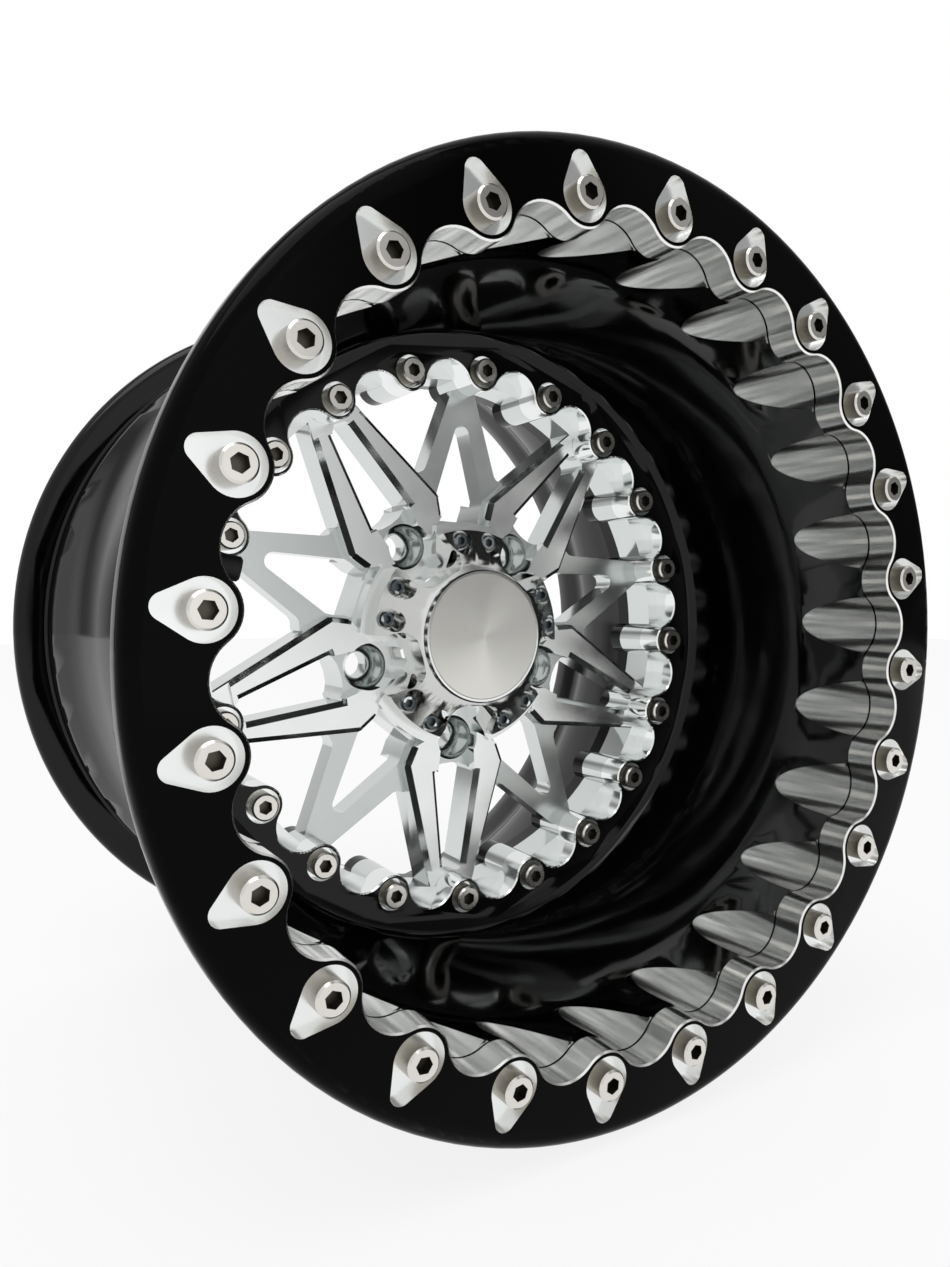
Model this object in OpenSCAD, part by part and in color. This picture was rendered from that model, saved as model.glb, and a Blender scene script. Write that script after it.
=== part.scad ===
// Beadlock wheel: two bolted barrels, a milled spoke centre and a clamp ring.
// Sizes are in millimetres. The wheel axis is Y, the front faces -Y.
// The origin is the middle of the flat face that meets the hub.
// Inside on_wheel(), Z is the height in front of that face and X, Y face the viewer.

/* [Display] */
// Piece to show

/* [Whole wheel] */
// Turn of the whole bolt pattern about the axis, in degrees
clocking = -20.35; // [-36:0.05:36]
// Radius of both tyre bead seats
bead_radius = 189.85; // [189:0.05:191]
// Radius of the rear rim edge
rim_radius = 207.2; // [204:0.1:210]
// Height of the plane where the clamp ring meets the outer barrel
parting_height = 161.5; // [156:0.5:168]
// Distance from the hub face back to the rear rim edge
rear_depth = 134.7; // [130:0.1:145]
// Wall thickness of both barrels
barrel_wall = 5; // [4:0.1:6]

/* [Clamp ring] */
// Thickness of the clamp ring
ring_thickness = 14.5; // [13:0.1:17]
// Outer radius of the clamp ring
ring_radius = 204.6; // [202:0.1:210]
// Number of clamp ring bolts
ring_bolt_count = 24; // [24:1:24]
// Distance of the clamp ring bolts in from the ring's edge
ring_bolt_inset = 25.2; // [24.5:0.1:26]
// Radius of the metal left round each clamp ring bolt
ring_lobe = 12.7; // [12:0.1:13.5]
// Distance from the circle of ring bolts in to the reach of the scallops
ring_scallop_inset = 2; // [1:0.1:3]
// Depth of the teardrop recesses
recess_depth = 4; // [3:0.1:5]
// Radius of the round end of a teardrop recess
recess_radius = 10.5; // [10:0.1:11]
// Radius of the narrow end of a teardrop recess
recess_tip_radius = 4.6; // [4:0.1:5.5]
// Distance between the two ends' centres
recess_tip_offset = 12.3; // [11:0.1:13]

/* [Outer barrel] */
// Height of the plain end of the flutes, where the bore reaches the scallop radius
flute_end = 114; // [110:0.5:118]
// Distance from the circle of ring bolts in to the bore at the parting plane
front_bore_inset = 11.1; // [10.5:0.1:12]
// Thickness of the centre flange
flange_thickness = 15.5; // [14:0.1:17]
// Number of assembly bolts
assembly_bolt_count = 20; // [20:1:20]
// Distance of the assembly bolts in from the wheel centre's edge
assembly_bolt_inset = 21.35; // [20.5:0.05:22]
// Radius of the metal left round each assembly bolt
flange_lobe = 9.8; // [9.5:0.1:10.2]
// Distance from the circle of assembly bolts out to the reach of the scallops
flange_scallop_out = 4.8; // [4.2:0.05:5.4]
// Depth of the flat seat under each assembly bolt head
flange_seat_depth = 4; // [3:0.1:5]
// Width of the bevel along the scalloped edges
scallop_bevel = 0.7; // [0.3:0.1:1]

/* [Wheel centre] */
// Outer radius of the wheel centre
centre_radius = 162; // [160:0.5:164]
// Height of the back of the centre's rim and spokes
centre_back = 10; // [8:0.5:12]
// Thickness of the centre's rim
rim_thickness = 19; // [18:0.5:20]
// Distance from the circle of assembly bolts in to the rim's bore
rim_bore_inset = 2.35; // [1.6:0.05:3.1]
// Height of the upper spokes' face above the rim
spoke_rise = 1.7; // [1:0.1:2]
// Width of the bevel on the upper spokes
spoke_bevel = 2.7; // [2:0.1:3.2]
// Distance of the lower spokes' face below the rim face
lower_drop = 5.5; // [4.5:0.1:6.5]
// Radius of the hub boss
hub_radius = 61.5; // [60.5:0.1:62.5]
// Height of the hub boss
hub_height = 33; // [32.5:0.1:34]
// Radius of the flat face that meets the hub
pad_radius = 76; // [74:0.5:78]
// Radius of the centre bore
bore_radius = 35; // [33:0.1:36]
// Radius of the circle of wheel bolts
lug_radius = 57.15; // [57.15:0.01:57.15]
// Radius of the wheel bolt holes
lug_hole_radius = 7; // [6.8:0.1:7.2]
// Radius of the wide end of a conical wheel bolt seat
lug_seat_radius = 12.3; // [12:0.1:12.6]
// Height of the wide end of the conical seats
lug_seat_height = 23.4; // [22.5:0.1:24]

/* [Centre cap] */
// Radius of the cap disc
disc_radius = 35.2; // [34.5:0.1:35.6]
// Height of the cap disc's face
disc_height = 55; // [54:0.1:56]
// Thickness of the cap disc's flange
disc_thickness = 2.5; // [2:0.1:3]
// Radius of the cap body's top edge
cap_top_radius = 36.2; // [36:0.1:37]
// Radius of the cap body's feet
cap_foot_radius = 56.7; // [56:0.1:57.4]
// Height of the top edge of the feet
cap_foot_height = 40; // [39:0.1:41]
// Length of the spigot that centres the cap body
cap_spigot_length = 4; // [3:0.5:4]
// Depth of the seat for that spigot, where the centre bore ends
cap_seat_depth = 4.5; // [4.5:0.1:5.5]
// Step from the centre bore out to the wall of that seat
cap_seat_step = 0.8; // [0.5:0.1:1]
// Half width of the openings that clear the wheel bolts
cap_notch = 16; // [15.5:0.1:16.5]
// Distance of each cap screw from the middle of its leg
cap_screw_offset = 8.7; // [8.4:0.1:9]
// Distance of the cap screws out along their leg
cap_screw_out = 50.5; // [50:0.1:51]

/* [Fasteners] */
// Thread size of the large bolts
bolt_size = 8; // [8:1:8]
// Head diameter of the large bolts
bolt_head = 13; // [12.8:0.1:13.2]
// Head height of the large bolts
bolt_head_height = 8; // [7.8:0.1:8.2]
// Width across the flats of the large bolts' sockets
bolt_socket = 6; // [6:0.5:6]
// Length of the clamp ring bolts
ring_bolt_length = 30; // [28:1:32]
// Length of the assembly bolts
assembly_bolt_length = 40; // [39:1:40]
// Thread size of the cap screws
screw_size = 5; // [5:1:5]
// Head diameter of the cap screws
screw_head = 8.5; // [8.3:0.1:8.7]
// Length of the cap screws
screw_length = 16; // [14:1:18]

/* [Fits] */
// Gap round a bolt in a plain hole
hole_gap = 0.25; // [0.15:0.05:0.4]
// Gap round a thread in its nut or tapped hole
thread_gap = 0.05; // [0.02:0.01:0.1]
// Gap round the cap's locating spigots
spigot_gap = 0.1; // [0.05:0.01:0.2]
// Width of the sealing ring grooves
seal_width = 3.2; // [3:0.1:3.6]
// Depth of the sealing ring grooves
seal_depth = 2.2; // [2:0.1:2.5]

/* [Tyre valve] */
// Turn of the valve from the first wheel bolt, in degrees
valve_turn = 187.5; // [187.5:15:187.5]
// Radius of the valve hole
valve_hole = 5.8; // [5.7:0.1:6]
// Radius of the valve stem
valve_stem_radius = 4; // [3.8:0.1:4.2]

/* [Hidden] */
$fn = 96;
black = [0.03, 0.03, 0.035];
bare = [0.82, 0.83, 0.84];
steel = [0.62, 0.6, 0.57];
zinc = [0.6, 0.66, 0.7];
rubber = [0.08, 0.08, 0.08];
brass = [0.7, 0.58, 0.3];
overrun = 1;
arc_lap = 0.02;
ring_step = 360 / ring_bolt_count;
flange_step = 360 / assembly_bolt_count;
sector = 72;
ring_face = parting_height + ring_thickness;
ring_seat = ring_face - recess_depth;
ring_bolt_radius = ring_radius - ring_bolt_inset;
ring_scallop_reach = ring_bolt_radius - ring_scallop_inset;
front_bore = ring_bolt_radius - front_bore_inset;
assembly_bolt_radius = centre_radius - assembly_bolt_inset;
flange_scallop_reach = assembly_bolt_radius + flange_scallop_out;
rim_bore = assembly_bolt_radius - rim_bore_inset;
flange_blank = assembly_bolt_radius - flange_lobe - 1;
spoke_root = 80;
spoke_stretch = (rim_bore - spoke_root) / 58.3;
bowl_foot = centre_radius - 1.5;
drop_foot = centre_radius + 9;
valve_place = 0.78;
valve_lean = atan((bowl(0.93) - bowl(0.68)) / 20);
rim_front = centre_back + rim_thickness;
flange_front = rim_front + flange_thickness;
flange_seat = flange_front - flange_seat_depth;
spoke_face = rim_front + spoke_rise;
lower_face = rim_front - lower_drop;
web_face = lug_seat_height + 0.6;
thread_hole = bolt_size / 2 + thread_gap;
plain_hole = bolt_size / 2 + hole_gap;
seal_radius = (centre_radius + assembly_bolt_radius + flange_lobe) / 2;
disc_seat = disc_height - disc_thickness;
cap_slope = (disc_seat - cap_foot_height) / (cap_foot_radius - cap_top_radius);
screw_seat = hub_height + 4;
valve_wall = barrel_wall - 1.1;

// Radius of the outer barrel's bore at a share of the way from the flange to the scallops' reach.
function bowl(share) = bowl_foot + share * (ring_scallop_reach - bowl_foot);

// Radius of the inner barrel at a share of the way from its drop centre to the rear bead seat.
function drop(share) = drop_foot + share * (bead_radius - 1 - drop_foot);

// Distance from the axis of a point on a spoke, which stretches with the rim.
function out_to(distance) = spoke_root + (distance - spoke_root) * spoke_stretch;

// Turns a shape built with its front up so that the front faces -Y.
module on_wheel() {
    rotate([90, 0, 0])
        rotate([0, 0, clocking])
            children();
}

// Repeats a shape evenly about the axis.
module around(count, start = 0) {
    for (i = [0 : count - 1]) {
        rotate([0, 0, start + i * 360 / count])
            children();
    }
}

// Radius of the circle on which the scallop cutters stand, so that they are tangent to the lobes.
function cutter_circle(reach, lobe, bolts, half) =
    (pow(reach + lobe, 2) - bolts * bolts) / (2 * (reach + lobe - bolts * cos(half)));

// Radius at which a lobe and a scallop touch.
function touch_radius(circle_r, reach, lobe, bolts, half) =
    norm([bolts + (circle_r * cos(half) - bolts) * lobe / (lobe + reach - circle_r),
          circle_r * sin(half) * lobe / (lobe + reach - circle_r)]);

// The opening inside a row of lobes and scallops, grown by a bevel towards its top.
module scalloped_hole(count, bolts, lobe, reach, low, high, grow = 0, scallops = true) {
    half = 180 / count;
    stand = cutter_circle(reach, lobe, bolts, half);
    cutter = reach - stand;
    touch = touch_radius(stand, reach, lobe, bolts, half);
    translate([0, 0, low])
        union() {
            difference() {
                cylinder(h = high - low, r1 = touch, r2 = touch + grow);
                around(count)
                    translate([bolts, 0, -overrun])
                        cylinder(h = high - low + 2 * overrun, r1 = lobe + grow * overrun / (high - low),
                            r2 = lobe - grow - grow * overrun / (high - low));
            }
            if (scallops) {
                around(count, half)
                    translate([stand, 0, 0])
                        cylinder(h = high - low, r1 = cutter + arc_lap, r2 = cutter + grow + arc_lap);
            }
        }
}

// Flat outline of a teardrop recess, with its tip outwards.
module teardrop() {
    lean = acos((recess_radius - recess_tip_radius) / recess_tip_offset);
    big = recess_radius - arc_lap;
    small = recess_tip_radius - arc_lap;
    circle(r = recess_radius);
    translate([recess_tip_offset, 0])
        circle(r = recess_tip_radius);
    polygon([
        [big * cos(lean), big * sin(lean)],
        [recess_tip_offset + small * cos(lean), small * sin(lean)],
        [recess_tip_offset + small * cos(lean), -small * sin(lean)],
        [big * cos(lean), -big * sin(lean)]]);
}

// Section of the clamp ring: a flat plate with a large round on the front of its rim.
module ring_section() {
    nose = 7;
    back_round = 2.5;
    difference() {
        union() {
            translate([ring_bolt_radius - 2 * ring_lobe, parting_height])
                square([ring_bolt_inset + 2 * ring_lobe - nose, ring_thickness]);
            translate([ring_radius - nose - 1, parting_height + back_round])
                square([nose + 1, ring_thickness - nose - back_round]);
            translate([ring_radius - nose, ring_face - nose])
                circle(r = nose);
            translate([ring_radius - back_round, parting_height + back_round])
                circle(r = back_round);
            translate([ring_radius - nose - 1, parting_height])
                square([nose + 1 - back_round, back_round + 1]);
        }
    }
}

// Clamp ring that holds the tyre's outer bead against the outer barrel.
module beadlock_ring() {
    color(black)
        on_wheel()
            difference() {
                rotate_extrude()
                    ring_section();
                scalloped_hole(ring_bolt_count, ring_bolt_radius, ring_lobe, ring_scallop_reach,
                    parting_height - overrun, ring_face + overrun);
                scalloped_hole(ring_bolt_count, ring_bolt_radius, ring_lobe, ring_scallop_reach,
                    ring_face - scallop_bevel, ring_face, scallop_bevel);
                around(ring_bolt_count)
                    translate([ring_bolt_radius, 0, ring_seat])
                        linear_extrude(recess_depth + overrun)
                            teardrop();
                around(ring_bolt_count)
                    translate([ring_bolt_radius, 0, parting_height - overrun])
                        cylinder(h = ring_thickness, r = plain_hole);
            }
}

// Outside of the outer barrel, from the parting plane back to the centre flange.
module outer_barrel_section() {
    stop_height = parting_height - 30;
    polygon([
        [flange_blank, flange_front],
        [centre_radius - 5.5, flange_front],
        [centre_radius - 3.5, flange_front + 1],
        [bowl_foot, flange_front + 4],
        [bowl(0.325), flange_front + 14],
        [bowl(0.68), flange_front + 30],
        [bowl(0.93), flange_front + 50],
        [ring_scallop_reach, flute_end],
        [front_bore, parting_height],
        [bead_radius, parting_height],
        [bead_radius, stop_height + 6],
        [bead_radius + 3.6, stop_height + 2],
        [bead_radius + 3.6, stop_height - 3],
        [ring_scallop_reach + barrel_wall + 1, stop_height - 14],
        [bowl(0.93) + barrel_wall, flange_front + 50],
        [bowl(0.68) + barrel_wall, flange_front + 28],
        [bowl(0.325) + barrel_wall, flange_front + 11],
        [centre_radius + 3, rim_front + 6],
        [centre_radius + 3, rim_front - 5],
        [centre_radius + spigot_gap, rim_front - 5],
        [centre_radius + spigot_gap, rim_front],
        [flange_blank, rim_front]]);
}

// Outer barrel: bead seat and flutes in front, scalloped flange at the back.
module outer_barrel() {
    half = 180 / ring_bolt_count;
    stand = cutter_circle(ring_scallop_reach, ring_lobe, ring_bolt_radius, half);
    color(black)
        on_wheel()
            difference() {
                rotate_extrude()
                    outer_barrel_section();
                around(ring_bolt_count, half)
                    translate([stand, 0, flute_end])
                        cylinder(h = parting_height, r = ring_scallop_reach - stand - 0.05);
                scalloped_hole(ring_bolt_count, ring_bolt_radius, ring_lobe, ring_scallop_reach,
                    parting_height - 2, parting_height + overrun, 0, false);
                scalloped_hole(assembly_bolt_count, assembly_bolt_radius, flange_lobe, flange_scallop_reach,
                    rim_front - overrun, flange_front + overrun);
                scalloped_hole(assembly_bolt_count, assembly_bolt_radius, flange_lobe, flange_scallop_reach,
                    flange_front - scallop_bevel, flange_front, scallop_bevel);
                around(ring_bolt_count)
                    translate([ring_bolt_radius, 0, ring_seat - ring_bolt_length - 3])
                        cylinder(h = ring_bolt_length, r = thread_hole);
                around(assembly_bolt_count)
                    translate([assembly_bolt_radius, 0, flange_seat])
                        cylinder(h = flange_seat_depth + 10, r = bolt_head / 2 + 1.8);
                around(assembly_bolt_count)
                    translate([assembly_bolt_radius, 0, rim_front - overrun])
                        cylinder(h = flange_thickness, r = plain_hole);
                at_valve() {
                    cylinder(h = 60, r = valve_hole, center = true);
                    cylinder(h = 40, r = 11);
                    translate([0, 0, -valve_wall - 40])
                        cylinder(h = 40, r = 11);
                }
            }
}

// Places a shape at the valve, with +Z pointing in towards the axis and forwards.
module at_valve() {
    rotate([0, 0, valve_turn])
        translate([bowl(valve_place), 0, flange_front + 38])
            rotate([0, valve_lean - 90, 0])
                translate([0, 0, -0.5])
                    children();
}

// Prism that bevels the top edge running from a to b, with the metal on its right.
module edge_bevel(a, b, top, size, extra = 3) {
    d = b - a;
    translate([a[0], a[1], top])
        rotate([0, 0, atan2(d[1], d[0])])
            rotate([90, 0, 90])
                translate([0, 0, -extra])
                    linear_extrude(norm(d) + 2 * extra)
                        polygon([[-size - 1, 1], [1, -size - 1], [1, 1]]);
}

// Half width of an upper spoke's outside and of its window at a distance from the axis.
function spoke_half(out) = 17 + (125 - out) * 0.26;
function window_half(out) = 6 + (125 - out) * 0.13;
// Half width of a lower spoke's outside and of its window.
function lower_half(out) = 8.5 + (130 - out) * 0.3375;
function lower_window_half(out) = 4.9 + (112 - out) * 0.278;

// Outline of an upper spoke pair, pointing along X.
module upper_outline() {
    polygon([
        [out_to(142), -spoke_half(142)], [71.5, -spoke_half(71.5)], [68.5, -30.2], [61, -27], [54, -12.8],
        [56.5, -6], [56.5, 6], [54, 12.8], [61, 27], [68.5, 30.2], [71.5, spoke_half(71.5)], [out_to(142), spoke_half(142)]]);
}

// Window between an upper pair's legs, pointing along X.
module upper_window() {
    polygon([
        [out_to(125), -window_half(125)], [76, -window_half(76)], [73.5, -10.5], [71.6, -6], [71, 0],
        [71.6, 6], [73.5, 10.5], [76, window_half(76)], [out_to(125), window_half(125)]]);
    translate([out_to(124.3), 0])
        circle(r = 6.05);
}

// Window between a lower pair's legs, pointing along X.
module lower_window() {
    polygon([
        [out_to(111.5), -4.6], [76, -lower_window_half(76)], [72, -14.3], [66, -12.4], [hub_radius + 0.5, -12.4],
        [hub_radius + 0.5, 12.4], [66, 12.4], [72, 14.3], [76, lower_window_half(76)], [out_to(111.5), 4.6]]);
    translate([out_to(110.6), 0])
        circle(r = 4.7);
}

// Upper spoke pair with bevelled edges.
module upper_spoke() {
    difference() {
        translate([0, 0, centre_back - 3])
            linear_extrude(spoke_face - centre_back + 3)
                upper_outline();
        for (side = [-1, 1]) {
            scale([1, side, 1]) {
                edge_bevel([71.5, spoke_half(71.5)], [out_to(142), spoke_half(142)], spoke_face, spoke_bevel);
                edge_bevel([61, 27], [68.5, 30.2], spoke_face, spoke_bevel, 1);
                edge_bevel([out_to(125), window_half(125)], [76, window_half(76)], spoke_face, spoke_bevel, 2);
            }
        }
    }
}

// Wheel centre, one piece: rim, five upper and five lower spoke pairs, and hub.
// Its pieces start at different heights below the back, which one cut then makes flat.
module wheel_centre() {
    color(bare)
        on_wheel()
            difference() {
                union() {
                    translate([0, 0, centre_back - 5])
                        linear_extrude(rim_thickness + 5)
                            rim_outline();
                    translate([0, 0, centre_back - 4])
                        linear_extrude(lower_face - centre_back + 4)
                            around(5, 36)
                                lower_outline();
                    intersection() {
                        around(5)
                            upper_spoke();
                        union() {
                            cylinder(h = spoke_face + overrun, r = rim_bore - 8.5);
                            cylinder(h = rim_front - 0.3, r = rim_bore + 11.7);
                        }
                    }
                    around(5, 36)
                        hub_pad();
                    translate([0, 0, 1])
                        linear_extrude(web_face - 1) {
                            circle(r = hub_radius + 1.5);
                            around(5)
                                translate([lug_radius, 0])
                                    circle(r = 16);
                        }
                    cylinder(h = centre_back + 2, r = pad_radius + 4);
                }
                back_cut();
                centre_cuts();
            }
}

// Flat outline of the rim with a lobe round each assembly bolt.
module rim_outline() {
    difference() {
        circle(r = centre_radius);
        circle(r = rim_bore);
    }
    around(assembly_bolt_count)
        translate([assembly_bolt_radius, 0])
            circle(r = flange_lobe);
}

// Outline of a lower spoke pair, pointing along X.
module lower_outline() {
    polygon([
        [out_to(142), -lower_half(142)], [90, -22], [88, -23.5], [86, -28], [58, -18.9],
        [58, 18.9], [86, 28], [88, 23.5], [90, 22], [out_to(142), lower_half(142)]]);
}

// Cuts the back flat, leaving the raised pad that meets the hub.
module back_cut() {
    difference() {
        translate([0, 0, -10])
            cylinder(h = centre_back + 10, r = centre_radius + 20);
        translate([0, 0, -12])
            cylinder(h = centre_back + 14, r1 = pad_radius + 2, r2 = pad_radius - 2);
    }
}

// Raised part of the hub under one leg of the centre cap.
module hub_pad() {
    intersection() {
        translate([0, 0, 2])
            cylinder(h = hub_height - 2, r = hub_radius);
        translate([30, -19, 0])
            cube([40, 38, hub_height + overrun]);
    }
}

// Everything cut out of the wheel centre.
module centre_cuts() {
    translate([0, 0, -overrun])
        cylinder(h = hub_height + 2 * overrun, r = bore_radius);
    translate([0, 0, hub_height - cap_seat_depth])
        cylinder(h = cap_seat_depth + overrun, r = bore_radius + cap_seat_step);
    around(5) {
        translate([lug_radius, 0, 0])
            rotate_extrude()
                polygon([[0, -overrun], [lug_hole_radius, -overrun],
                    [lug_hole_radius, lug_seat_height - (lug_seat_radius - lug_hole_radius) * sqrt(3)],
                    [lug_seat_radius, lug_seat_height], [lug_seat_radius, 45], [0, 45]]);
        translate([0, 0, -overrun])
            linear_extrude(60)
                upper_window();
        translate([0, 0, web_face - 0.2])
            linear_extrude(20)
                polygon([[78, -window_half(78) + 0.3], [lug_radius, -10], [40, -10], [40, 10], [lug_radius, 10],
                    [78, window_half(78) - 0.3]]);
    }
    around(5, 36) {
        translate([0, 0, -overrun])
            linear_extrude(60)
                lower_window();
        for (side = [-1, 1]) {
            translate([cap_screw_out, side * cap_screw_offset, screw_seat - screw_length - 2])
                cylinder(h = 40, r = screw_size / 2 + thread_gap);
        }
    }
    around(assembly_bolt_count)
        translate([assembly_bolt_radius, 0, centre_back - overrun])
            cylinder(h = rim_thickness + 2 * overrun, r = plain_hole);
    translate([0, 0, rim_front - seal_depth])
        seal_ring(overrun);
    translate([0, 0, centre_back - overrun])
        seal_ring(overrun);
}

// A flat ring that fills a seal groove, with extra height past its face.
module seal_ring(extra) {
    difference() {
        cylinder(h = seal_depth + extra, r = seal_radius + seal_width / 2);
        translate([0, 0, -overrun])
            cylinder(h = seal_depth + extra + 2 * overrun, r = seal_radius - seal_width / 2);
    }
}

// Inner barrel: front flange, drop centre, rear bead seat and rear rim edge.
module inner_barrel() {
    color(black)
        on_wheel()
            difference() {
                rotate_extrude()
                    inner_barrel_section();
                around(assembly_bolt_count)
                    translate([assembly_bolt_radius, 0, -overrun])
                        cylinder(h = centre_back + 2 * overrun, r = thread_hole);
                translate([0, 0, -overrun])
                    linear_extrude(centre_back + 2 * overrun)
                        difference() {
                            circle(r = rim_bore + 0.4);
                            around(assembly_bolt_count)
                                translate([assembly_bolt_radius, 0])
                                    circle(r = flange_lobe - 0.4);
                        }
            }
}

// Section of the inner barrel.
module inner_barrel_section() {
    lip = -rear_depth;
    w = barrel_wall;
    polygon([
        [flange_blank - 2, centre_back], [centre_radius + spigot_gap, centre_back],
        [centre_radius + spigot_gap, centre_back + 5], [centre_radius + 3, centre_back + 5],
        [centre_radius + 5.5, 4], [drop_foot, -16], [drop(0.168), -34], [drop(0.308), -55], [drop(0.56), -76],
        [bead_radius - 1, -96], [bead_radius + 0.2, -99], [bead_radius + 0.2, -102],
        [bead_radius - 1.8, -105], [bead_radius, lip + 13], [bead_radius + 1.5, lip + 11.5],
        for (a = [90 : -15 : -90]) [rim_radius - 5.8 + 5.8 * cos(a), lip + 5.8 + 5.8 * sin(a)],
        [bead_radius + 9, lip + 5.5], [bead_radius + 1, lip + 6], [bead_radius - 3, lip + 7.5],
        [bead_radius - w, lip + 11], [bead_radius - w - 1.5, -102], [bead_radius - w - 1.5, -97],
        [drop(0.56) - w, -80], [drop(0.308) - w, -58], [drop(0.168) - w, -36], [drop_foot - w, -18],
        [centre_radius - 1, -5],
        [centre_radius - 4, 0], [flange_blank - 2, 0]]);
}

// One socket head bolt, with its seat at height 0 and its head above.
module socket_bolt(size, head, head_height, length, flats, depth) {
    difference() {
        union() {
            translate([0, 0, -length])
                cylinder(h = 1, r1 = size / 2 - 1, r2 = size / 2);
            translate([0, 0, 1 - length])
                cylinder(h = length - 1 + 0.5, r = size / 2);
            cylinder(h = head_height - 0.8, r = head / 2);
            translate([0, 0, head_height - 0.8])
                cylinder(h = 0.8, r1 = head / 2, r2 = head / 2 - 0.8);
        }
        translate([0, 0, head_height - depth])
            cylinder(h = depth + overrun, r = flats / sqrt(3), $fn = 6);
    }
}

// Bolts of the clamp ring.
module beadlock_bolts() {
    color(steel)
        on_wheel()
            around(ring_bolt_count)
                translate([ring_bolt_radius, 0, ring_seat])
                    socket_bolt(bolt_size, bolt_head, bolt_head_height, ring_bolt_length, bolt_socket, 4.5);
}

// Bolts that join both barrels and the wheel centre.
module assembly_bolts() {
    color(steel)
        on_wheel()
            around(assembly_bolt_count)
                translate([assembly_bolt_radius, 0, flange_seat])
                    socket_bolt(bolt_size, bolt_head, bolt_head_height, assembly_bolt_length, bolt_socket, 4.5);
}

// Sealing rings on both sides of the wheel centre's rim.
module rim_seals() {
    color(rubber)
        on_wheel() {
            translate([0, 0, rim_front - seal_depth])
                seal_ring(0);
            translate([0, 0, centre_back])
                seal_ring(0);
        }
}

// Cap body: a five-legged cone with a spigot in the centre bore.
module cap_body() {
    color(bare)
        on_wheel()
            difference() {
                union() {
                    translate([0, 0, cap_foot_height])
                        cylinder(h = disc_seat - cap_foot_height, r1 = cap_foot_radius, r2 = cap_top_radius);
                    translate([0, 0, hub_height])
                        cylinder(h = cap_foot_height - hub_height, r = cap_foot_radius);
                    translate([0, 0, hub_height - cap_spigot_length])
                        cylinder(h = cap_spigot_length + 1, r = bore_radius + cap_seat_step - spigot_gap);
                }
                around(5)
                    cap_notch_cut();
                around(5, 36)
                    for (side = [-1, 1]) {
                        translate([cap_screw_out, side * cap_screw_offset, 0])
                            cap_screw_cut();
                    }
                translate([0, 0, hub_height - cap_spigot_length - overrun])
                    cylinder(h = 60, r = 27);
            }
}

// Opening in the cap body round one wheel bolt.
module cap_notch_cut() {
    inner = cap_top_radius + 0.6;
    corner = 8;
    translate([0, 0, hub_height - overrun])
        linear_extrude(40) {
            translate([inner + corner, -cap_notch + 1])
                square([60, 2 * cap_notch - 2]);
            translate([inner, -cap_notch + 1 + corner])
                square([60, 2 * cap_notch - 2 - 2 * corner]);
            for (side = [-1, 1]) {
                translate([inner + corner, side * (cap_notch - 1 - corner)])
                    circle(r = corner);
            }
            polygon([[50, -cap_notch + 1], [62, -cap_notch - 3], [62, cap_notch + 3], [50, cap_notch - 1]]);
        }
}

// Hole, flat seat and run-in scoop for one cap screw.
module cap_screw_cut() {
    translate([0, 0, hub_height - overrun])
        cylinder(h = 20, r = screw_size / 2 + hole_gap);
    translate([0, 0, screw_seat])
        cylinder(h = 30, r = 5.4);
    translate([0, 0, screw_seat + 3])
        rotate([0, -31, 0])
            translate([-16, 0, 5.4])
                rotate([0, 90, 0])
                    cylinder(h = 16, r = 5.4);
}

// Round plate that closes the top of the cap.
module cap_disc() {
    color(bare)
        on_wheel() {
            translate([0, 0, disc_seat])
                cylinder(h = disc_thickness - 0.8, r = disc_radius);
            translate([0, 0, disc_height - 0.8])
                cylinder(h = 0.8, r1 = disc_radius, r2 = disc_radius - 0.8);
            translate([0, 0, disc_seat - 6])
                cylinder(h = 6.5, r = 27 - spigot_gap);
        }
}

// Screws that hold the cap body to the hub.
module cap_screws() {
    color(zinc)
        on_wheel()
            around(5, 36)
                for (side = [-1, 1]) {
                    translate([cap_screw_out, side * cap_screw_offset, screw_seat])
                        socket_bolt(screw_size, screw_head, 5, screw_length, 4, 2.5);
                }
}

// Valve stem with its outer flange on the tyre side.
module valve_stem() {
    color(brass)
        on_wheel()
            at_valve() {
                translate([0, 0, -valve_wall - 5])
                    cylinder(h = 3, r = 8);
                translate([0, 0, -valve_wall - 3])
                    cylinder(h = valve_wall + 31, r = valve_stem_radius);
            }
}

// Rubber seal under the valve's flange.
module valve_seal() {
    color(rubber)
        on_wheel()
            at_valve()
                difference() {
                    union() {
                        translate([0, 0, -valve_wall - 2])
                            cylinder(h = 2, r = 9);
                        translate([0, 0, -valve_wall - 1])
                            cylinder(h = valve_wall + 0.8, r = valve_hole - thread_gap);
                    }
                    translate([0, 0, -valve_wall - 3])
                        cylinder(h = 40, r = valve_stem_radius + thread_gap);
                }
}

// Nut that clamps the valve from the inside.
module valve_nut() {
    color(brass)
        on_wheel()
            at_valve()
                difference() {
                    cylinder(h = 6, r = 8, $fn = 6);
                    translate([0, 0, -overrun])
                        cylinder(h = 10, r = valve_stem_radius + thread_gap);
                }
}

// Dust cap on the valve.
module valve_cap() {
    color(rubber)
        on_wheel()
            at_valve()
                translate([0, 0, 18])
                    difference() {
                        union() {
                            cylinder(h = 12, r = 5.3);
                            translate([0, 0, 12])
                                cylinder(h = 1, r1 = 5.3, r2 = 4.3);
                        }
                        translate([0, 0, -overrun])
                            cylinder(h = 12, r = valve_stem_radius + thread_gap);
                    }
}

beadlock_ring();
outer_barrel();
wheel_centre();
inner_barrel();
beadlock_bolts();
assembly_bolts();
rim_seals();
cap_body();
cap_disc();
cap_screws();
valve_stem();
valve_seal();
valve_nut();
valve_cap();
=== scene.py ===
import math

import bpy
from mathutils import Matrix, Vector


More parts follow.
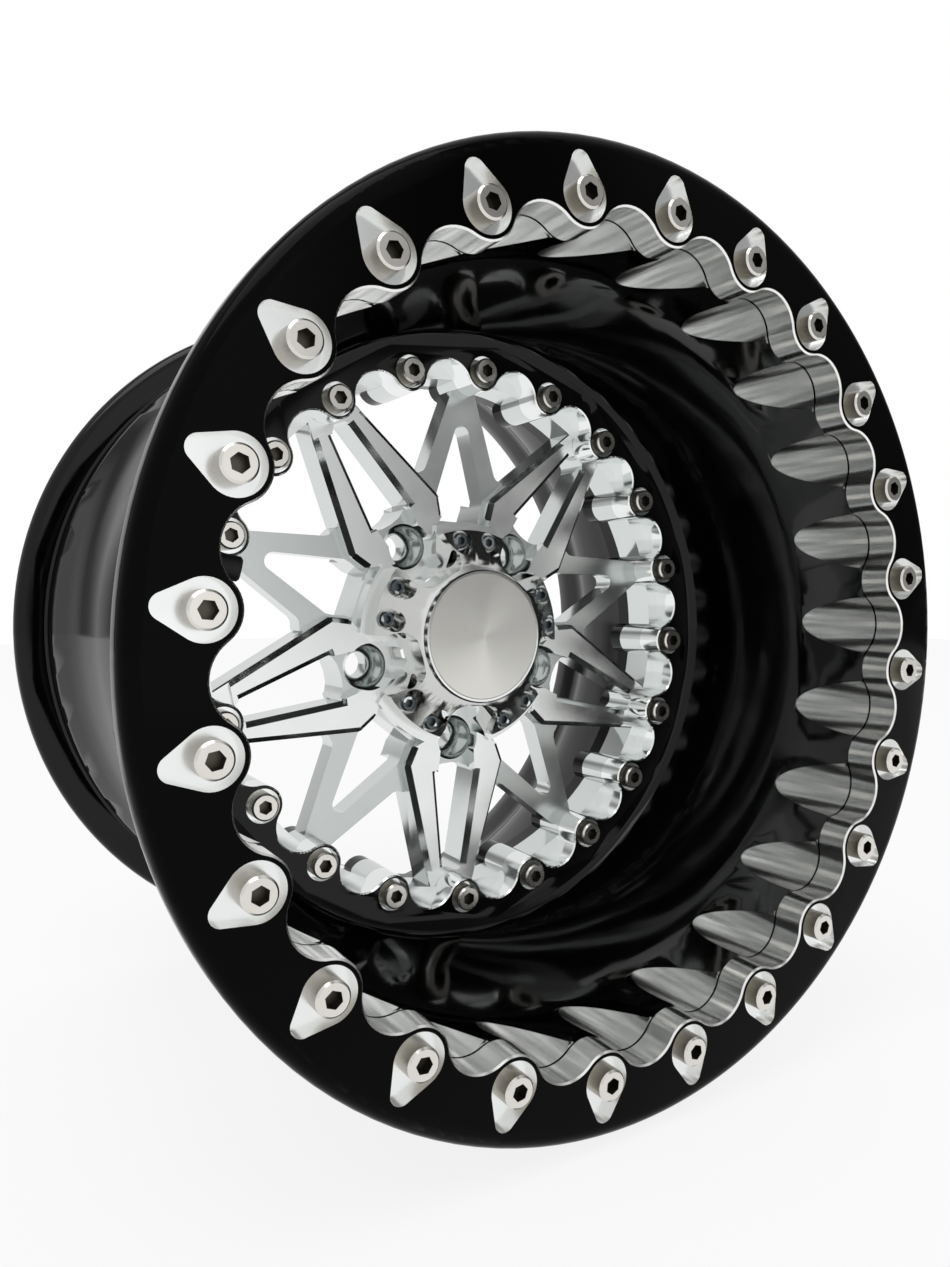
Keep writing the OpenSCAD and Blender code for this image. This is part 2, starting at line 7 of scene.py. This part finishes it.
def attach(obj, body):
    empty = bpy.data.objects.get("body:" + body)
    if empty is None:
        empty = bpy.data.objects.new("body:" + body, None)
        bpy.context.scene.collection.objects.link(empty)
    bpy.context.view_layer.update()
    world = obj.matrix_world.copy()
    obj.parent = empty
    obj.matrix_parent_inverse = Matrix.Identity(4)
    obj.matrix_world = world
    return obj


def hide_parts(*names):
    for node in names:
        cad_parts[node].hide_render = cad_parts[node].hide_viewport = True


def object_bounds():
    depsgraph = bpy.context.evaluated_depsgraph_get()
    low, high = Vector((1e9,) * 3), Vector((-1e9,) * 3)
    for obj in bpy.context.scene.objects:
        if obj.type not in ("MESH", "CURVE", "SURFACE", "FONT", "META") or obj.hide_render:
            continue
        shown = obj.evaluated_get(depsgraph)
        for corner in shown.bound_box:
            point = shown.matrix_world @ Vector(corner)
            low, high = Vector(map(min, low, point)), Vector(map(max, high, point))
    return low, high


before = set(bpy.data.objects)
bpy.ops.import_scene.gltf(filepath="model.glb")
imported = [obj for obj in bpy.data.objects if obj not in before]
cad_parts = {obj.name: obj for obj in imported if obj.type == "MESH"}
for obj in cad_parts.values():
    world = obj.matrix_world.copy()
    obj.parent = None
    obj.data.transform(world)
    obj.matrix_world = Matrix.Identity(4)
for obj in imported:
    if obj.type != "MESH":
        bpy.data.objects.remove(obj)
cad_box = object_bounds()
bpy.ops.object.select_all(action="DESELECT")

# Camera. It stands where the photographer did: to the left of the open front, a little above
# the axle, close enough that the front rim looks much larger than the rear one.
camera_data = bpy.data.cameras.new("photo_camera")
camera_data.sensor_width = 36
camera_data.lens = 25.962
camera_data.clip_start = 0.01
camera = bpy.data.objects.new("photo_camera", camera_data)
bpy.context.collection.objects.link(camera)
right = Vector((0.8526, -0.5226, 0.0))
up = Vector((0.0207, 0.0337, 0.9992))
back = Vector((-0.5222, -0.8519, 0.0395))
turn = Matrix((right, up, back)).transposed().to_4x4()
camera.matrix_world = Matrix.Translation((-0.2554, -0.4617, 0.0206)) @ turn
bpy.context.scene.camera = camera

# Studio. A white table and surround, a tall softbox behind the camera and a square one above.
# Mirrored rays see a room that darkens to the front right and has a dark band in its middle.
scene = bpy.context.scene
scene.view_settings.view_transform = "Standard"


def linear_colour(hex_colour):
    """Linear colour of an sRGB hex value."""
    parts = [int(hex_colour[i:i + 2], 16) / 255 for i in (1, 3, 5)]
    return [p / 12.92 if p <= 0.04045 else ((p + 0.055) / 1.055) ** 2.4 for p in parts] + [1.0]


def add_node(tree, kind, inputs=None, **settings):
    """Adds one shader node, sets it up, and links or fills its inputs."""
    made = tree.nodes.new(kind)
    for key, value in settings.items():
        setattr(made, key, value)
    for key, value in (inputs or {}).items():
        if isinstance(value, bpy.types.NodeSocket):
            tree.links.new(value, made.inputs[key])
        else:
            made.inputs[key].default_value = value
    return made


DARK_SIDE = (0.95, -0.30, 0.0)
BAND_NORMAL = (0.847, 0.532, 0.0)
TABLE_GLOW = 0.85
TABLE_GAP = 0.0005

world = bpy.data.worlds.new("white_studio")
scene.world = world
world.use_nodes = True
tree = world.node_tree
tree.nodes.clear()
seen = add_node(tree, "ShaderNodeTexCoord")
towards = add_node(tree, "ShaderNodeVectorMath", {0: seen.outputs["Generated"], 1: DARK_SIDE},
                   operation="DOT_PRODUCT")
across = add_node(tree, "ShaderNodeVectorMath", {0: seen.outputs["Generated"], 1: BAND_NORMAL},
                  operation="DOT_PRODUCT")
off_axis = add_node(tree, "ShaderNodeMath", {0: across.outputs["Value"]}, operation="ABSOLUTE")
band = add_node(tree, "ShaderNodeMapRange", {
    "Value": off_axis.outputs[0], "From Min": 0.04, "From Max": 0.2, "To Min": 0.3, "To Max": 1.0})
room = add_node(tree, "ShaderNodeMapRange", {
    "Value": towards.outputs["Value"], "From Min": 0.6, "From Max": 0.97, "To Min": 0.85, "To Max": 0.15})
dimmed = add_node(tree, "ShaderNodeMath", {0: room.outputs["Result"], 1: band.outputs["Result"]},
                  operation="MULTIPLY")
ray = add_node(tree, "ShaderNodeLightPath")
white = add_node(tree, "ShaderNodeBackground", {"Color": (1, 1, 1, 1), "Strength": 1.0})
dim = add_node(tree, "ShaderNodeBackground", {"Color": (1, 1, 1, 1), "Strength": dimmed.outputs[0]})
both = add_node(tree, "ShaderNodeMixShader", {0: ray.outputs["Is Camera Ray"], 1: dim.outputs[0],
                                              2: white.outputs[0]})
add_node(tree, "ShaderNodeOutputWorld", {"Surface": both.outputs[0]})

for name, place, aim, wide, tall, watts in (
        ("softbox_behind_camera", (0.1, -1.7, 0.05), (0, -0.2, 0), 0.6, 1.5, 0.7),
        ("softbox_above", (-0.5, -0.5, 1.6), (0, 0, 0), 1.2, 1.2, 10)):
    lamp = bpy.data.lights.new(name, "AREA")
    lamp.shape = "RECTANGLE"
    lamp.size = wide
    lamp.size_y = tall
    lamp.energy = watts
    lamp_object = bpy.data.objects.new(name, lamp)
    bpy.context.collection.objects.link(lamp_object)
    lamp_object.location = place
    lamp_object.rotation_euler = (Vector(aim) - Vector(place)).to_track_quat("-Z", "Y").to_euler()

bpy.ops.mesh.primitive_plane_add(size=9, location=(0, 0, cad_box[0][2] - TABLE_GAP))
floor = bpy.context.object
floor.name = "white_table"
table = bpy.data.materials.new("white_table")
table.use_nodes = True
tree = table.node_tree
tree.nodes.clear()
ray = add_node(tree, "ShaderNodeLightPath")
paint = add_node(tree, "ShaderNodeBsdfDiffuse", {"Color": linear_colour("#F4F4F4")})
bright = add_node(tree, "ShaderNodeEmission", {"Color": (1, 1, 1, 1), "Strength": 1.0})
mirrored = add_node(tree, "ShaderNodeMath", {
    0: ray.outputs["Is Glossy Ray"], 1: ray.outputs["Is Transmission Ray"]}, operation="MAXIMUM")
direct = add_node(tree, "ShaderNodeMath", {0: ray.outputs["Is Camera Ray"], 1: mirrored.outputs[0]},
                  operation="MAXIMUM")
share = add_node(tree, "ShaderNodeMath", {0: direct.outputs[0], 1: TABLE_GLOW}, operation="MULTIPLY")
mixed = add_node(tree, "ShaderNodeMixShader", {
    0: share.outputs[0], 1: paint.outputs[0], 2: bright.outputs[0]})
add_node(tree, "ShaderNodeOutputMaterial", {"Surface": mixed.outputs[0]})
floor.data.materials.append(table)


# Finishes shared by the large parts. The barrels and the ring are forged aluminium under a
# gloss black powder coat; the edges that are cut after coating show the bare metal.
COAT_IOR = 1.45


def finish_material(name, colour, metal, rough, lines, depth, mottle, specular=0.5):
    """A procedural finish: uneven roughness, and lines with a size along each axis and a depth, in mm."""
    made = bpy.data.materials.new(name)
    made.use_nodes = True
    tree = made.node_tree
    tree.nodes.clear()
    place = add_node(tree, "ShaderNodeTexCoord")
    cloud = add_node(tree, "ShaderNodeTexNoise", {
        "Vector": place.outputs["Object"], "Scale": 60.0, "Detail": 4.0})
    rough_range = add_node(tree, "ShaderNodeMapRange", {
        "Value": cloud.outputs["Fac"], "From Min": 0.3, "From Max": 0.7,
        "To Min": max(rough - mottle, 0.02), "To Max": rough + mottle})
    stretch = add_node(tree, "ShaderNodeMapping", {
        "Vector": place.outputs["Object"], "Scale": tuple(1000.0 / size for size in lines)})
    grain = add_node(tree, "ShaderNodeTexNoise", {"Vector": stretch.outputs[0], "Scale": 1.0, "Detail": 3.0})
    relief = add_node(tree, "ShaderNodeBump", {
        "Height": grain.outputs["Fac"], "Strength": 1.0, "Distance": depth / 1000})
    skin = add_node(tree, "ShaderNodeBsdfPrincipled", {
        "Base Color": linear_colour(colour), "Metallic": metal,
        "Roughness": rough_range.outputs["Result"], "Normal": relief.outputs[0]})
    if not metal:
        skin.inputs["IOR"].default_value = COAT_IOR
        skin.inputs["Specular IOR Level"].default_value = specular
    add_node(tree, "ShaderNodeOutputMaterial", {"Surface": skin.outputs[0]})
    return made


gloss_black = finish_material("gloss_black_powder_coat", "#020202", 0.0, 0.07, (3, 3, 3), 0.004, 0.02,
                              specular=0.3)
# The ring's black coat also serves as the painted shadow line at the barrel's joint with the ring.
ring_coat_and_joint_shadow = finish_material("deep_black_ring_coat_and_joint_shadow", "#020202", 0.0, 0.1, (3, 3, 3), 0.004, 0.02,
                             specular=0.06)
cut_along = finish_material("milled_aluminium_lines_along_axis", "#F6F6F4", 1.0, 0.24,
                            (0.3, 150, 0.3), 0.0004, 0.0)
cut_around = finish_material("milled_aluminium_lines_round_axis", "#F2F2F0", 1.0, 0.22,
                             (8, 0.3, 8), 0.0004, 0.0)
milled_face = finish_material("milled_aluminium_face", "#EDEFEE", 1.0, 0.22, (0.9, 0.9, 0.9), 0.0006, 0.03)
polished_wall = finish_material("polished_aluminium_wall", "#EFF2F1", 1.0, 0.12,
                                (0.8, 30, 0.8), 0.0006, 0.02)


def dressed_copy(node_name, piece_name, finishes, choose, angle=32, cut_height=None):
    """A merged copy of a CAD node. choose picks a face's finish from its radius, its height in
    front of the hub face, its normal's part along the axis, and its centre, all in mm."""
    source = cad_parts[node_name]
    piece = source.copy()
    piece.data = source.data.copy()
    piece.animation_data_clear()
    piece.parent = None
    piece.matrix_world = Matrix.Identity(4)
    for key in list(piece.keys()):
        del piece[key]
    piece.name = piece_name
    bpy.context.collection.objects.link(piece)
    bpy.ops.object.select_all(action="DESELECT")
    piece.select_set(True)
    bpy.context.view_layer.objects.active = piece
    bpy.ops.mesh.customdata_custom_splitnormals_clear()
    bpy.ops.object.mode_set(mode="EDIT")
    bpy.ops.mesh.select_all(action="SELECT")
    bpy.ops.mesh.remove_doubles(threshold=0.00001)
    bpy.ops.mesh.dissolve_limited(angle_limit=math.radians(0.5))
    if cut_height:
        bpy.ops.mesh.select_all(action="SELECT")
        bpy.ops.mesh.bisect(plane_co=(0, -cut_height / 1000, 0), plane_no=(0, 1, 0))
    bpy.ops.object.mode_set(mode="OBJECT")
    piece.data.materials.clear()
    for finish in finishes:
        piece.data.materials.append(finish)
    for face in piece.data.polygons:
        c = face.center * 1000
        face.material_index = choose(math.hypot(c.x, c.z), -c.y, face.normal.y, c)
    bpy.ops.object.shade_smooth_by_angle(angle=math.radians(angle))
    edge_finish = {}
    for face in piece.data.polygons:
        for key in face.edge_keys:
            edge_finish.setdefault(key, set()).add(face.material_index)
    for edge in piece.data.edges:
        if len(edge_finish.get(edge.key, ())) > 1:
            edge.use_edge_sharp = True
    bpy.ops.object.select_all(action="DESELECT")
    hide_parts(node_name)
    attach(piece, "root")
    return piece


# Clamp ring. Turned from plate, coated black, then the scalloped bore and the teardrop
# recesses are milled through the coat, so every cut wall is bare aluminium.
def ring_finish(r, h, ny, c):
    """Cut walls and the floors of the recesses bare, the rest and the rounded rim coated."""
    if r >= 197.5:
        return 0
    if abs(ny) < 0.95:
        return 1
    return 2 if 170 < h < 175 else 0


clamp_ring = dressed_copy("beadlock_ring", "clamp_ring", [ring_coat_and_joint_shadow, cut_around, milled_face],
                          ring_finish)

# Outer barrel. Spun and coated black, with flutes milled along the bore after coating and
# a scalloped flange whose cut edge and bolt seats are bare.
# Above this height the barrel's front edge takes the ring's black coat as a painted shadow of the gap
# between barrel and ring.
JOINT_SHADOW_HEIGHT = 160.6


def barrel_finish(r, h, ny, c):
    """Flutes bare, a painted shadow line where the ring meets the barrel, flange edge and seats bare."""
    # This black band is painted shadow at the joint, not coat on the barrel.
    if h > JOINT_SHADOW_HEIGHT and r < 180:
        return 3
    if h > 114 and 160 < r < 178.6 and abs(ny) < 0.04:
        return 1
    if r < 150 and h > 28.5 and (abs(ny) < 0.9 or 35 < h < 42):
        return 2
    return 0


front_barrel = dressed_copy("outer_barrel", "front_barrel",
                            [gloss_black, cut_along, polished_wall, ring_coat_and_joint_shadow],
                            barrel_finish, cut_height=JOINT_SHADOW_HEIGHT)

# Inner barrel. The same forged and coated aluminium, seen from outside at the left and
# through the spokes.
rear_barrel = dressed_copy("inner_barrel", "rear_barrel", [gloss_black], lambda r, h, ny, c: 0)

# Wheel centre. One plate of aluminium, milled all over and left bare: bright walls, faces
# with a slightly duller end-mill finish, and a coarser cut and a darker painted shade on the lower spokes.
# The lower spokes' face finish is a darker grey: painted shade cast by the upper spokes.
lower_face_painted_shade = finish_material("milled_aluminium_lower_face_painted_shade", "#C9CDCB", 1.0, 0.24,
                            (0.9, 0.9, 0.9), 0.0008, 0.03)
spoke_wall = finish_material("milled_aluminium_spoke_wall", "#D6DAD9", 1.0, 0.13,
                             (0.8, 30, 0.8), 0.0006, 0.02)


def centre_finish(r, h, ny, c):
    """Walls polished, upper faces milled, and the lower spokes outside the hub milled coarser and darkened
    with painted shade.
    """
    if abs(ny) < 0.95:
        return 0
    return 2 if h < 27 and r > 64 else 1


spoke_centre = dressed_copy("wheel_centre", "spoke_centre", [spoke_wall, milled_face, lower_face_painted_shade],
                            centre_finish)

# Centre cap. A five-legged cone with scooped screw seats, turned and milled, then polished
# by hand, which leaves it a little darker than the freshly cut plate behind it.
cone_metal = finish_material("hand_polished_aluminium", "#D0D1CF", 1.0, 0.14, (1.5, 1.5, 1.5), 0.0004, 0.02)
cap_cone = dressed_copy("cap_body", "cap_cone", [cone_metal], lambda r, h, ny, c: 0)

# Cap plate. Aluminium faced in the lathe, so its lines run round the axis and throw fan-shaped
# glints. A fine groove is turned just inside its polished rim.
CAP_FACE_RADIUS = 0.0335

turned = bpy.data.materials.new("lathe_turned_aluminium")
turned.use_nodes = True
tree = turned.node_tree
tree.nodes.clear()
place = add_node(tree, "ShaderNodeTexCoord")
round_axis = add_node(tree, "ShaderNodeVectorMath", {0: (0, 1, 0), 1: place.outputs["Object"]},
                      operation="CROSS_PRODUCT")
way = add_node(tree, "ShaderNodeVectorMath", {0: round_axis.outputs[0]}, operation="NORMALIZE")
skin = add_node(tree, "ShaderNodeBsdfPrincipled", {
    "Base Color": linear_colour("#DEDDD8"), "Metallic": 1.0, "Roughness": 0.23, "Anisotropic": 0.9,
    "Tangent": way.outputs[0]})
add_node(tree, "ShaderNodeOutputMaterial", {"Surface": skin.outputs[0]})
cap_plate = dressed_copy("cap_disc", "cap_plate", [turned, polished_wall], lambda r, h, ny, c: 0)
face_height = max(-v.co.y for v in cap_plate.data.vertices)
bpy.context.view_layer.objects.active = cap_plate
cap_plate.select_set(True)
for face in cap_plate.data.polygons:
    face.select = abs(-face.center.y - face_height) < 1e-5
bpy.context.tool_settings.mesh_select_mode = (False, False, True)
bpy.ops.object.mode_set(mode="EDIT")
bpy.ops.mesh.inset(thickness=0.0011)
bpy.ops.mesh.inset(thickness=0.00025, depth=-0.0004)
bpy.ops.mesh.inset(thickness=0.00025, depth=0.0004)
bpy.ops.object.mode_set(mode="OBJECT")
bpy.context.tool_settings.mesh_select_mode = (True, False, False)
for face in cap_plate.data.polygons:
    corners = [cap_plate.data.vertices[i].co for i in face.vertices]
    outer = max(math.hypot(corner.x, corner.z) for corner in corners)
    face.material_index = 1 if outer > CAP_FACE_RADIUS else 0
bpy.ops.object.shade_smooth_by_angle(angle=math.radians(20))
bpy.ops.object.select_all(action="DESELECT")

# Bolts and screws. Stainless socket heads with a bright chamfer, a grooved side and a hexagon
# socket painted dark as shade on the large bolts; smaller bright zinc ones on the cap, their sockets also
# painted dark as shade.
stainless = finish_material("stainless_steel_bolt", "#DEDBD5", 1.0, 0.2, (0.6, 0.6, 0.6), 0.003, 0.05)
grooved = finish_material("stainless_steel_grooved_side", "#B7B2A9", 1.0, 0.3, (1.0, 60, 1.0), 0.12, 0.05)
# Dark grey painted shade for the inside of the bolts' hexagon sockets.
socket_painted_shade_steel = finish_material("dark_socket_steel", "#5B574F", 1.0, 0.4, (0.6, 0.6, 0.6), 0.004, 0.05)
zinc = finish_material("bright_zinc_plating", "#DCE1E3", 1.0, 0.18, (0.8, 0.8, 0.8), 0.003, 0.05)
# Dark grey painted shade for the inside of the cap screws' sockets.
socket_painted_shade_zinc = finish_material("zinc_socket_painted_shade", "#5C6366", 1.0, 0.4, (0.8, 0.8, 0.8), 0.003, 0.05)


CLOCKING = 20.35


def bolt_finish(bolt_count, axis_radius, socket_radius, face_height):
    """Picks top, side or socket of a bolt head by the distance from the nearest bolt's axis."""
    step = 360 / bolt_count

    def choose(r, h, ny, c):
        turned_by = math.degrees(math.atan2(c.z, c.x)) + CLOCKING
        off = math.radians((turned_by + step / 2) % step - step / 2)
        near = math.hypot(r * math.cos(off) - axis_radius, r * math.sin(off))
        # Faces inside the socket take the painted shade finish.
        if near < socket_radius and h < face_height - 0.3:
            return 2
        return 1 if abs(ny) < 0.2 and near > socket_radius else 0

    return choose


for node_name, piece_name, choose in (
        ("beadlock_bolts", "ring_bolts", bolt_finish(24, 179.4, 3.7, 180)),
        ("assembly_bolts", "flange_bolts", bolt_finish(20, 140.65, 3.7, 48.5))):
    piece = dressed_copy(node_name, piece_name, [stainless, grooved, socket_painted_shade_steel], choose)


def screw_finish(r, h, ny, c):
    """Picks the socket of a cap screw by the distance from the screw's axis."""
    turned_by = math.degrees(math.atan2(c.z, c.x)) + CLOCKING - 36
    off = math.radians((turned_by + 36) % 72 - 36)
    near = math.hypot(r * math.cos(off) - 50.5, abs(r * math.sin(off)) - 8.7)
    # Socket faces take the painted shade finish.
    return 1 if near < 2.4 and (abs(ny) < 0.2 or near < 1.2) else 0


piece = dressed_copy("cap_screws", "cap_cone_screws", [zinc, socket_painted_shade_zinc], screw_finish)

# Tyre valve and seals. Plated brass stem and nut, black rubber seals and a black dust cap. They
# stay the CAD's own meshes, screwed into the barrel or squeezed between the bolted parts.
brass = finish_material("nickel_plated_brass", "#B9B2A2", 1.0, 0.25, (0.6, 0.6, 0.6), 0.006, 0.05)
rubber = finish_material("black_rubber", "#1A1A1A", 0.0, 0.6, (0.5, 0.5, 0.5), 0.02, 0.1)
for node_name, metal in (("valve_stem", brass), ("valve_nut", brass), ("valve_seal", rubber),
                         ("valve_cap", rubber), ("rim_seals", rubber)):
    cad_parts[node_name].data.materials.clear()
    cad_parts[node_name].data.materials.append(metal)
